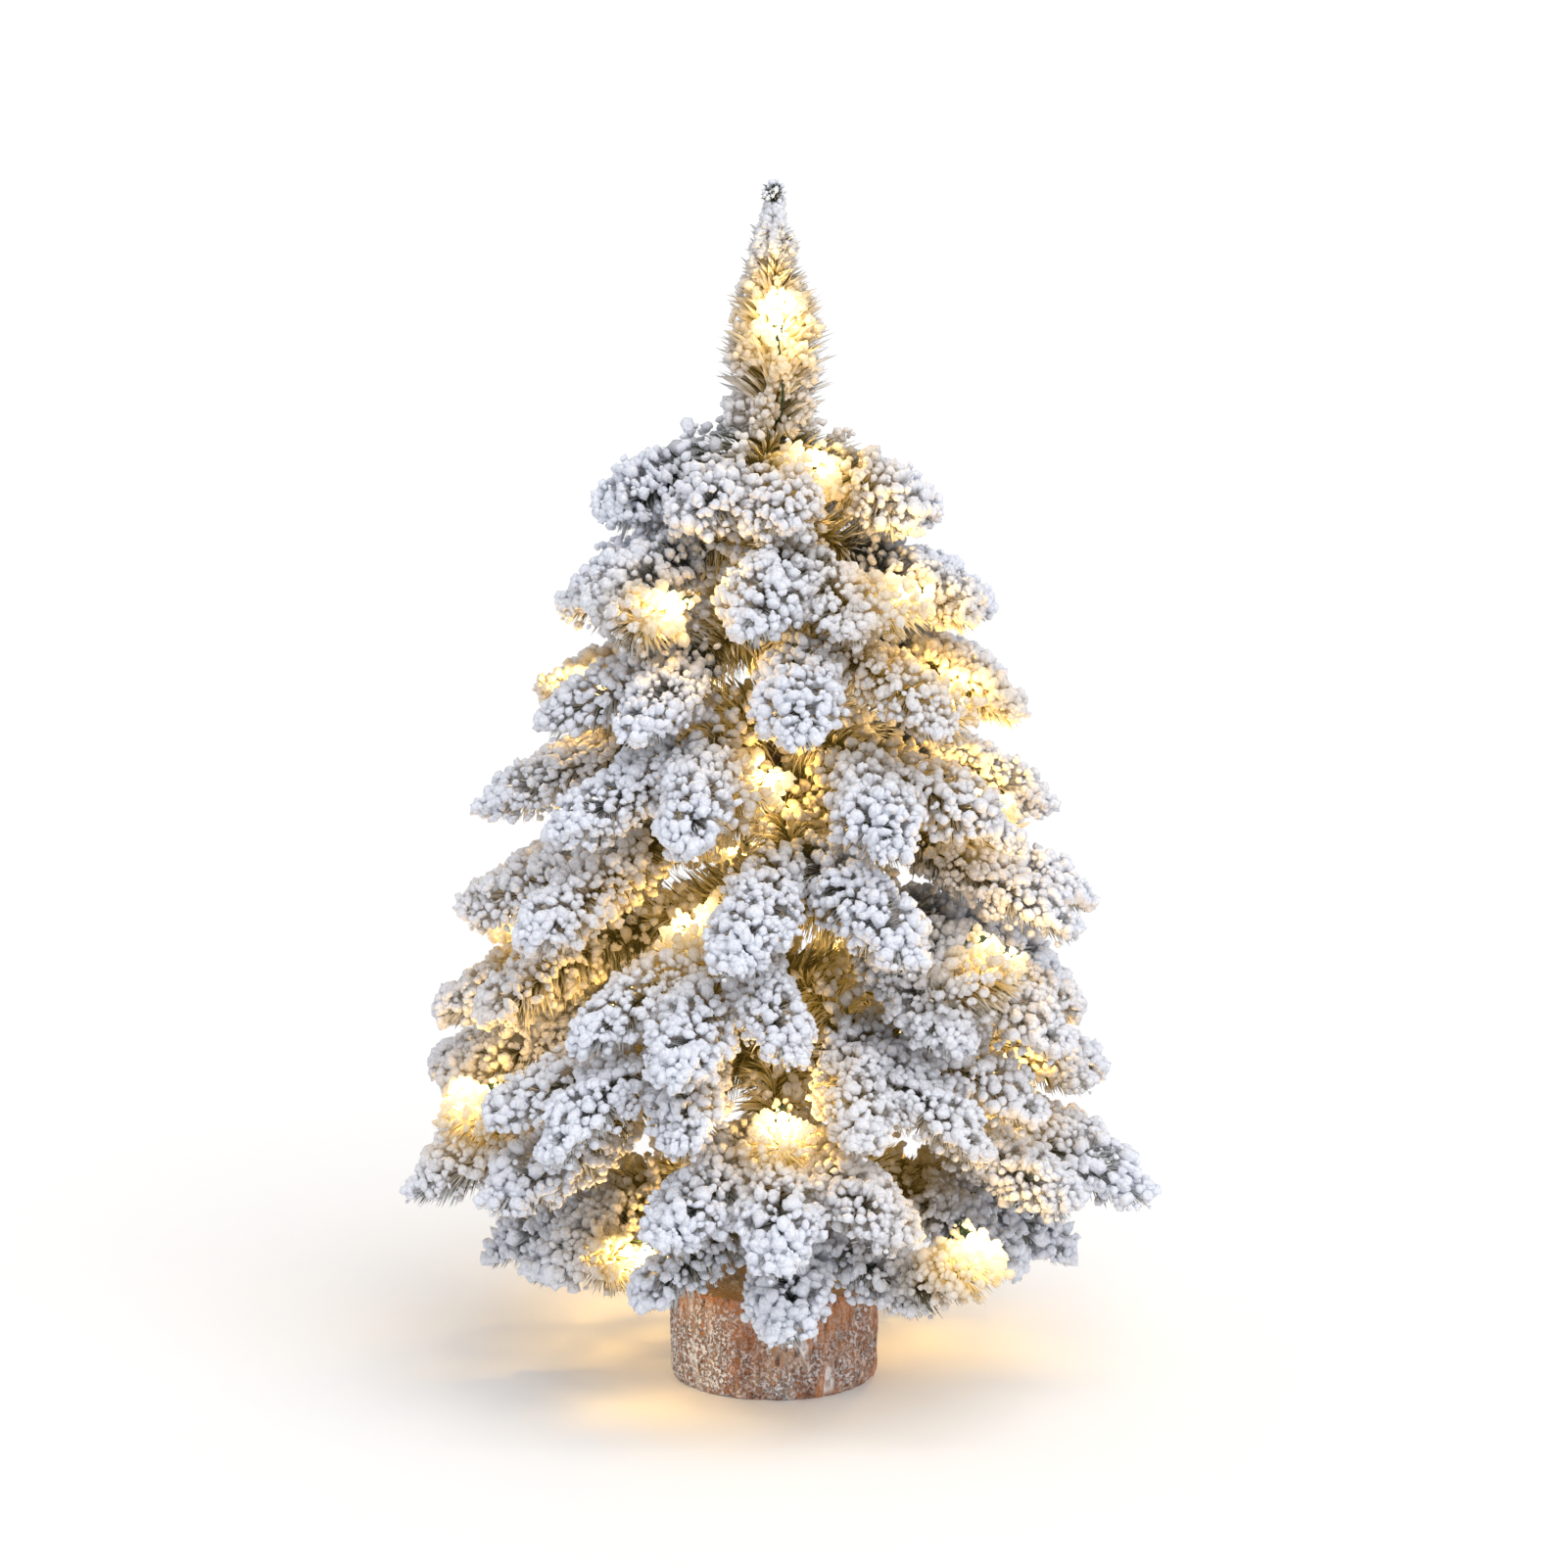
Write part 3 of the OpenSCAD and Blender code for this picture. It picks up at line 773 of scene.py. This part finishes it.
def make_branch(branch, rng):
    """A stem, its sprays and its bulbs' twigs: each a wire in a flocked brush."""
    body = branch.name
    wires, needles, flock = Heap(), Heap(), Heap()
    stem, sprays = branch.stem, branch.sprays
    add_tube(wires, stem.at(np.linspace(0, 1, 14)), STEM_R, **BRUSH_WIRE)
    length = np.linalg.norm(stem.end - stem.start)
    near = min(STEMS, key=lambda l: abs(l - length))
    place_brush(STEMS[near][rng.integers(2)], stem, rng, needles, flock, 60)
    for path in sprays + branch.twigs:
        size = np.linalg.norm(path.end - path.start)
        brush = BRUSHES[min(BRUSHES, key=lambda l: abs(l - size))][rng.integers(3)]
        place_brush(brush, path, rng, needles, flock)
        end = 1 - OVERSHOOT / brush.length
        add_tube(wires, path.at(np.linspace(0, end, 16)), SPRAY_R, **BRUSH_WIRE)
    wires.piece(body + "_wire", COATED_WIRE, body, "wire_green")
    needles.piece(body + "_needles", NEEDLES, body, "flocked_needles", "frost")
    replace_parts(flock.piece(body + "_flock", FLOCK, body, "flocked_needles", "depth"), branch.name)


def holding_branch(bulb):
    """The branch and the place on it that lie nearest to a bulb, below it if possible."""
    best = None
    for branch in BRANCHES:
        for path in [branch.stem] + branch.sprays:
            share = np.linspace(0.15, 0.9, 16)
            points = path.at(share)
            above = np.maximum(0, points[:, 2] - bulb.middle[2])
            cost = np.linalg.norm(points - bulb.middle, axis=1) + 0.6 * above
            k = cost.argmin()
            if best is None or cost[k] < best[0]:
                best = (cost[k], branch, path, share[k], points[k])
    return best[1:]


def add_twig(bulb, branch, root):
    """A short twig under a bulb, from the branch that holds it."""
    heading = unit((bulb.middle - branch.pivot) * [1, 1, 0])
    end = bulb.middle + heading * TWIG_PAST + UP * (-0.35 * TWIG_PAST)
    start = root - heading * 8 * MM
    twig = Path(start, end)
    twig.lift = bulb.middle[2] - 7.5 * MM - twig.at([0.6])[0][2]
    twig.lift = float(np.clip(twig.lift, -TWIG_LIFT, TWIG_LIFT))
    branch.twigs.append(twig)


BRANCHES = [Branch(j, n) for n, j in enumerate(j for j in frame["joints"] if j["child"].startswith("row"))]
HELD = [holding_branch(bulb) for bulb in BULBS]
for lit_bulb, (holder, _, _, place) in zip(BULBS, HELD):
    add_twig(lit_bulb, holder, place)
for number, tree_branch in enumerate(BRANCHES):
    make_branch(tree_branch, np.random.default_rng(9000 + number))

# ---- leader ----

# Height and radius in mm of the leader's outline
LEADER_SHAPE = [(474, 22), (480, 26), (490, 26), (500, 28), (512, 30), (526, 29), (536, 23), (545, 22),
                (552, 15), (562, 14), (570, 12), (576, 7), (584, 5.5)]
LEADER_WIRE_TOP = 591 * MM
LEADER_NEEDLES = 1300
LEADER_CRUMBS = 2600        # places tried for a lump of flock
TUFT = 150                  # needles in the tuft at the very top


def leader_reach(height):
    """The outline's radius at a height."""
    heights, radii = np.array(LEADER_SHAPE).T * MM
    return np.interp(height, heights, radii)


def leaning_ways(around, lean):
    """Unit directions by their angle round the leader and their lean from its line."""
    return np.stack([np.sin(lean) * np.cos(around), np.sin(lean) * np.sin(around), np.cos(lean)], 1)


def leader_lengths(root, lean):
    """Lengths of needles that end on the leader's outline."""
    length = np.full(len(root), 16 * MM)
    for _ in range(4):
        length = leader_reach(root + length * np.cos(lean)) / np.sin(lean)
    return length


def make_leader():
    """The upright brush, with the bulb's lead and a tuft on top."""
    rng = np.random.default_rng(77)
    pivot = np.array([j["pos_m"] for j in frame["joints"] if j["child"] == "leader"][0])
    wires, needles, flock = Heap(), Heap(), Heap()
    line = np.linspace(pivot[2] + 0.2 * MM, LEADER_WIRE_TOP, 40)
    add_tube(wires, line[:, None] * UP, 1.3 * MM, **BRUSH_WIRE)
    lead = np.linspace(0, 1, 18)[:, None]
    start, end = np.array([1, -3, 477]) * MM, LEADER_BULB.foot - UP * 6.5 * MM
    bow = np.array([0.003, -0.003, -0.004])
    add_tube(wires, start + (end - start) * lead + bow * np.sin(pi * lead), WIRE_R, **STRING_WIRE)
    wires.piece("leader_wire", COATED_WIRE, "leader", "wire_green")

    count = LEADER_NEEDLES
    root = pivot[2] + 1 * MM + (LEADER_WIRE_TOP - pivot[2] - 13 * MM) * (np.arange(count) + 0.5) / count
    flare = 42 * (1 - np.clip((root - pivot[2]) / (12 * MM), 0, 1))
    lean = np.radians(rng.normal(0, 9, count) + 52 + flare)
    around = np.arange(count) * GOLDEN + rng.normal(0, 0.3, count)
    ways, length = leaning_ways(around, lean), leader_lengths(root, lean)
    roots = root[:, None] * UP
    clump = np.array([noise.noise(Vector(p) * CLUMP) for p in roots + ways * length[:, None]])
    length = np.clip(length * (0.95 + 0.3 * clump + rng.uniform(-0.12, 0.12, count)), 3 * MM, 36 * MM)
    bare_needles(rng, roots, ways, length, 0.45, NEEDLE_W, (2.2, 4.5)).add_to(needles)

    count = LEADER_CRUMBS
    height = rng.uniform(474, 586, count) * MM
    around = rng.uniform(0, tau, count)
    at = np.stack([np.cos(around), np.sin(around), 0 * around], 1)
    clump = np.array([noise.noise(Vector(p)) for p in at * 2.2 + height[:, None] * UP * 75])
    out = leader_reach(height) * np.clip(0.42 + 0.75 * clump + rng.uniform(-0.1, 0.25, count), 0.1, 0.92)
    size = np.minimum(rng.uniform(1.1, 2.7, count) * MM, 0.36 * leader_reach(height))
    held = clump > -0.12
    crumbs(rng, (at * out[:, None] + height[:, None] * UP)[held], size[held], 0 * size[held]).add_to(flock)

    around, lean = rng.uniform(0, tau, TUFT), np.radians(rng.uniform(10, 125, TUFT))
    ways = leaning_ways(around, lean)
    roots = (LEADER_WIRE_TOP - 2 * MM + 3 * MM * rng.uniform(0, 1, TUFT))[:, None] * UP
    bare_needles(rng, roots, ways, rng.uniform(5, 7, TUFT) * MM, 0.12, 1.6 * NEEDLE_W).add_to(needles)
    white = rng.uniform(0, 1, TUFT) < 0.2
    size = rng.uniform(0.9, 1.6, TUFT)[white] * MM
    crumbs(rng, (roots + ways * 5.4 * MM)[white], size, 0 * size).add_to(flock)
    for heap in (needles, flock):
        for verts in heap.verts:
            verts[:, 2] = np.minimum(verts[:, 2], TREE_TOP)
    needles.piece("leader_needles", NEEDLES, "leader", "flocked_needles", "frost")
    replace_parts(flock.piece("leader_flock", FLOCK, "leader", "flocked_needles", "depth"), "leader")


make_leader()

# ---- light string ----

RING_R = 5.2 * MM           # of the string's turns round the trunk
RING_DROP = 10 * MM         # below the branches' roots
TURN_STEPS = 48             # points on each turn


def bezier(points, count):
    t = np.linspace(0, 1, count)[:, None]
    a, b, c, d = points
    return (1 - t) ** 3 * a + 3 * (1 - t) ** 2 * t * b + 3 * (1 - t) * t ** 2 * c + t ** 3 * d


def rounded(points, steps):
    """A smooth line through points."""
    ends = np.concatenate([[2 * points[0] - points[1]], points, [2 * points[-1] - points[-2]]])
    line = []
    for a, b, c, d in zip(ends, ends[1:], ends[2:], ends[3:]):
        for t in np.arange(steps) / steps:
            line.append(0.5 * (2 * b + (c - a) * t + (2 * a - 5 * b + 4 * c - d) * t ** 2
                               + (3 * b - a - 3 * c + d) * t ** 3))
    return np.array(line + [points[-1]])


def make_light_wire():
    """The lead out of the log, turns round the trunk from row to row, and a drop to each bulb."""
    rng = np.random.default_rng(5)
    rows = {}
    for branch in BRANCHES:
        rows.setdefault(branch.name.split("_")[0], []).append(branch.pivot[2])
    heights = np.array([np.mean(z) for _, z in sorted(rows.items())]) - RING_DROP
    wires = Heap()
    foot, out = np.array([14, 23, 12]) * MM, np.array([14, 23, 53]) * MM
    first = np.array([0, RING_R, heights[0] - 24 * MM])
    add_tube(wires, np.array([foot, (foot + out) / 2, out]), WIRE_R, **STRING_WIRE)
    lead = bezier([out, out + UP * 10 * MM, first + [0, 6 * MM, -18 * MM], first], 24)
    add_tube(wires, lead, WIRE_R, **STRING_WIRE)
    turns = np.linspace(0, len(heights), TURN_STEPS * len(heights) + 1)
    z = np.interp(turns, np.arange(len(heights) + 1), np.concatenate([[first[2]], heights]))
    angle = pi / 2 + tau * turns
    helix = np.stack([RING_R * np.cos(angle), RING_R * np.sin(angle), z], 1)
    add_tube(wires, helix, WIRE_R, **STRING_WIRE)
    for bulb, (branch, path, share, _) in zip(BULBS, HELD):
        start = helix[np.argmin(np.linalg.norm(helix - branch.pivot, axis=1))]
        side = branch.side * rng.choice([-1, 1]) * 2.5 * MM - UP * 1.5 * MM
        route = [start]
        if path is branch.stem:
            route += list(branch.stem.at(np.linspace(0.3, max(share, 0.31), 4)) + side)
        else:
            route += list(branch.stem.at([0.3, 0.6, 0.9]) + side)
            route += list(path.at(np.linspace(0.1, share, 4)) + side)
        end = bulb.foot - bulb.way * HUSK_END
        route += [end - bulb.way * 4 * MM, end]
        add_tube(wires, rounded(np.array(route), 5), WIRE_R, **STRING_WIRE)
    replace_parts(wires.piece("light_wire_string", COATED_WIRE, "stand", "wire_green"), "light_wire")


make_light_wire()

# ---- trunk ----

TAPE_PITCH = 9 * MM
TAPE_R, TAPE_INNER_R = 3.75 * MM, 3.05 * MM
TAPE_THICK = 0.38 * MM      # height of the step where one turn laps the last


def make_tape():
    """Tape wound on the core in lapped turns, with small wrinkles."""
    low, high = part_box("trunk_tape")
    sides, steps = 48, int((high.z - low.z) / (0.9 * MM))
    angle = tau * np.arange(sides) / sides
    z = np.linspace(low.z, high.z, steps)
    phase = (z[:, None] / TAPE_PITCH - angle[None, :] / tau) % 1
    lap = np.clip(phase / 0.12, 0, 1) * (1 - 0.75 * phase)
    wrinkle = np.array([[noise.noise(Vector((cos(a) * 3, sin(a) * 3, h * 400))) for a in angle] for h in z])
    radius = TAPE_R + TAPE_THICK * lap + 0.12 * MM * wrinkle
    level = np.broadcast_to(z[:, None], radius.shape)
    rings = np.stack([radius * np.cos(angle), radius * np.sin(angle), level], -1)
    inner = TAPE_INNER_R * np.stack([np.cos(angle), np.sin(angle), 0 * angle], 1)
    verts = np.concatenate([inner + [0, 0, low.z], rings.reshape(-1, 3), inner + [0, 0, high.z]])
    quads = ring_walls(steps + 2, sides)
    s = np.arange(sides)[None, :]
    t = (s + 1) % sides
    last = (steps + 1) * sides
    lining = np.stack([last + s, last + t, t, s], -1).reshape(-1, 4)
    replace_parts(mesh_piece("trunk_wrap", verts, np.concatenate([quads, lining]), TAPE, "stand"),
                "trunk_tape")


TAPE = tape_material()
make_tape()

# ---- log ----

CUT_END = 0.0485            # radius where the log's cut ends turn to bark
BARK = 0.0498               # and where it is all bark


def bark_material():
    """Tan bark with dry frost, most at the left; its cracks are dark, partly their own colour and partly
    painted shade, and dark flecks of painted shade, as in pits, lie among the frost at the lower left; the
    cut ends show rings.
    """
    n = Nodes("bark_wood")
    where = n.add("ShaderNodeTexCoord").outputs["Object"]
    place = n.add("ShaderNodeSeparateXYZ", {"Vector": where})
    x, y, z = place.outputs
    flat = n.add("ShaderNodeCombineXYZ", {"X": x, "Y": y}).outputs[0]
    radius = n.add("ShaderNodeVectorMath", {0: flat}, operation="LENGTH").outputs["Value"]
    upright = n.place((1, 1, 0.22))
    grain = n.noise(150, 5, 0.65, upright, 0.6)
    bark = n.mix(n.between(grain, 0.35, 0.62), (0.24, 0.08, 0.025), (0.60, 0.24, 0.085))
    bark = n.mix(n.between(n.noise(70, 3, 0.6, n.place((1, 1, 0.5))), 0.5, 0.66), bark, (0.62, 0.36, 0.21))
    # the cracks are dark: partly the bark's own dark fissures, partly painted shade
    crack = n.between(n.noise(190, 4, 0.75, n.place((1, 1, 0.38)), 1.2), 0.37, 0.43, 1.0, 0.0)
    bark = n.mix(n.math("MULTIPLY", crack, 0.85), bark, (0.055, 0.02, 0.012))
    wander = n.math("ADD", radius, n.math("MULTIPLY", n.noise(60, 2), 0.004))
    ring = n.math("SINE", n.math("MULTIPLY", wander, 1900))
    wood = n.mix(n.between(ring, -1, 1), (0.44, 0.27, 0.14), (0.64, 0.45, 0.27))
    wood = n.mix(n.between(n.noise(500, 4), 0.45, 0.7), wood, (0.36, 0.21, 0.11))
    inside = n.between(radius, CUT_END, BARK, 1.0, 0.0)
    body = n.mix(inside, bark, wood)
    left = n.between(x, -0.05, 0.02, 1.0, 0.12)
    low = n.between(z, 0.012, 0.05, 1.0, 0.1)
    patch = n.math("ADD", n.math("MULTIPLY", left, low), n.between(n.noise(38, 2), 0.35, 0.7, -0.2, 0.6))
    dust = n.between(n.noise(480, 4, 0.8), 0.43, 0.54)
    runs = n.between(n.noise(85, 3, 0.6, n.place((1, 1, 0.16)), 1.5), 0.585, 0.64)
    broken = n.between(n.noise(160, 3, 0.7), 0.38, 0.52, 0.25, 0.9)
    # painted shade: dark flecks, as in pits, among the frost at the lower left
    shade_flecks = n.between(n.noise(520, 3, 0.7, n.place((1, 1, 0.8))), 0.34, 0.41, 0.7, 0.0)
    body_with_shade_flecks = n.mix(shade_flecks, body, (0.12, 0.04, 0.02))
    body = n.mix(n.math("MULTIPLY", left, low), body, body_with_shade_flecks)
    frost = n.math("MULTIPLY", dust, n.between(patch, 0.2, 0.75, 0.12, 1.0))
    frost = n.math("MAXIMUM", frost, n.math("MULTIPLY", runs, broken))
    film = n.between(n.noise(240, 4, 0.75), 0.42, 0.62, 0.0, 0.24)
    body = n.mix(n.math("MULTIPLY", film, n.between(radius, CUT_END, BARK)), body, (0.72, 0.62, 0.56))
    n.set(Base_Color=n.mix(frost, body, (0.84, 0.82, 0.84)), Roughness=0.85, Specular_IOR_Level=0.25)
    rough = n.math("ADD", n.math("MULTIPLY", grain, 0.8), n.math("MULTIPLY", frost, 1.1))
    n.set(Normal=n.bump(rough, 0.9, 1.5 * MM, n.bump(n.noise(1300, 3), 0.4, 0.3 * MM)))
    return n.material


LOG_R = 0.0523              # of the bark, before its ridges and cracks
LOG_SIDES, LOG_RINGS = 260, 44
# Shares of the radius and of the height, from the middle of an end to the bark
LOG_END = [(0.0, 0.0), (0.45, 0.0), (0.8, 0.0), (0.93, 0.0), (0.955, 0.0), (0.98, 0.02), (0.994, 0.05)]


def log_skin(low, high):
    """The bark and the rounded ends, as rings of points."""
    angle = tau * np.arange(LOG_SIDES) / LOG_SIDES
    end_shares, end_heights = np.array(LOG_END).T
    heights = np.concatenate([end_heights, np.linspace(0.09, 0.91, LOG_RINGS), 1 - end_heights[::-1]])
    shares = np.concatenate([end_shares, np.ones(LOG_RINGS), end_shares[::-1]])
    rings = []
    for share, height in zip(shares[1:-1], heights[1:-1]):
        z = low + (high - low) * height
        ring = []
        for a in angle:
            out = Vector((cos(a), sin(a), 0))
            ridge = noise.fractal(Vector((out.x * 9, out.y * 9, z * 22)), 0.8, 2.1, 4)
            crack = abs(noise.noise(Vector((out.x * 15, out.y * 15, z * 16 + 5))))
            swell = noise.noise(Vector((out.x * 1.2, out.y * 1.2, 3)))
            depth = share ** 6 * (0.9 * ridge + 1.1 * swell - 1.6 * max(0.0, 0.16 - crack) / 0.16)
            ring.append((out * (LOG_R * share + depth * MM))[:2] + (z,))
        rings.append(ring)
    return np.array(rings)


# In mm: corners of the battery box's pocket; x, y, foot, top and radius of the holes for the trunk, the
# string's lead and the two screws
POCKET = ((-32, -30, -5), (32, 30, 20.5))
LOG_HOLES = ((0, 0, 24, 60, 3.05), (14, 23, 15, 60, 2), (26.5, 24.1, 15, 29.5, 1.55),
             (-26.5, 24.1, 15, 29.5, 1.55))


def make_log():
    """The log slice, with its pocket and holes."""
    low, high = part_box("base_log")
    rings = log_skin(low.z, high.z)
    count, sides = rings.shape[:2]
    verts = np.concatenate([rings.reshape(-1, 3), [[0, 0, low.z], [0, 0, high.z]]])
    skin = [ring_walls(count, sides), ring_caps(count, sides)]
    log = mesh_piece("log_slice", verts, skin, bark_material(), "stand")
    cut(log, box_cutter(*POCKET))
    for hole in LOG_HOLES:
        cut(log, rod_cutter(*hole))
    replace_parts(log, "base_log")


def box_cutter(low, high):
    bm = bmesh.new()
    bmesh.ops.create_cube(bm, size=1)
    low, high = Vector(low) * MM, Vector(high) * MM
    for v in bm.verts:
        v.co = Vector([low[i] + (v.co[i] + 0.5) * (high[i] - low[i]) for i in range(3)])
    return bm


def rod_cutter(x, y, foot, top, radius):
    bm = bmesh.new()
    bmesh.ops.create_cone(bm, cap_ends=True, segments=32, radius1=radius * MM, radius2=radius * MM,
                          depth=(top - foot) * MM)
    bmesh.ops.translate(bm, verts=bm.verts, vec=Vector((x, y, (foot + top) / 2)) * MM)
    return bm


def cut(piece, bm):
    """Takes a shape out of a piece's mesh."""
    mesh = bpy.data.meshes.new("cutter")
    bm.to_mesh(mesh)
    bm.free()
    cutter = new_object("cutter", mesh)
    take = piece.modifiers.new("cut", "BOOLEAN")
    take.object = cutter
    take.solver = "EXACT"
    result = bpy.data.meshes.new_from_object(piece.evaluated_get(bpy.context.evaluated_depsgraph_get()))
    piece.modifiers.clear()
    piece.data = result
    bpy.data.objects.remove(cutter)
    bpy.data.meshes.remove(mesh)


make_log()

# ---- the frame's own parts that are kept ----


def paint(node, material):
    held = frame["nodes"][node].data.materials
    held.clear()
    held.append(material)


def cell_material():
    """A plain wrapped cell: copper-coloured bands on a dark sleeve, and bare metal ends."""
    n = Nodes("cell_metal")
    x = n.add("ShaderNodeSeparateXYZ", {"Vector": n.add("ShaderNodeTexCoord").outputs["Object"]}).outputs[0]
    scuff = n.noise(900, 3)
    dark = n.mix(scuff, (0.02, 0.022, 0.028), (0.05, 0.05, 0.06))
    copper = n.mix(scuff, (0.62, 0.30, 0.12), (0.75, 0.42, 0.2))
    end = n.mix(scuff, (0.5, 0.5, 0.5), (0.7, 0.7, 0.7))
    far = n.math("ABSOLUTE", x)
    sleeve = n.mix(n.between(far, 0.0128, 0.0129), dark, copper)
    n.set(Base_Color=n.mix(n.between(far, 0.0242, 0.0243), sleeve, end))
    n.set(Metallic=n.between(far, 0.0128, 0.0129, 0.3))
    n.set(Roughness=n.between(scuff, 0.3, 0.7, 0.25, 0.42), Normal=n.bump(n.noise(2500, 2), 0.15, 0.1 * MM))
    return n.material


paint("trunk_core", metal_material("steel", (0.35, 0.35, 0.36), (0.6, 0.6, 0.6), 0.4, (1, 1, 0.1)))
for part in ("battery_box", "battery_cover"):
    paint(part, plastic_material(part, (0.012, 0.012, 0.013), (0.03, 0.03, 0.032), 0.5))
paint("power_switch", plastic_material("switch_plastic", (0.02, 0.02, 0.02), (0.05, 0.05, 0.052), 0.4))
paint("battery_cells", cell_material())
for part in ("battery_springs", "contact_plates", "box_screws"):
    paint(part, metal_material(part, (0.55, 0.54, 0.52), (0.8, 0.79, 0.76), 0.3))
paint("control_board", plastic_material("circuit_board", (0.01, 0.06, 0.03), (0.03, 0.13, 0.06), 0.35))

# ---- floor ----


FLOOR_HALF = 6.0            # half the floor's width


def make_floor():
    mesh = bpy.data.meshes.new("floor")
    corners = [(x * FLOOR_HALF, y * FLOOR_HALF, 0) for x, y in ((-1, -1), (1, -1), (1, 1), (-1, 1))]
    mesh.from_pydata(corners, [], [(0, 1, 2, 3)])
    floor = new_object("floor", mesh)
    n = Nodes("floor")
    n.set(Base_Color=n.mix(n.noise(3, 2), (0.93, 0.93, 0.935), (0.95, 0.95, 0.955)), Roughness=0.9)
    mesh.materials.append(n.material)


make_floor()
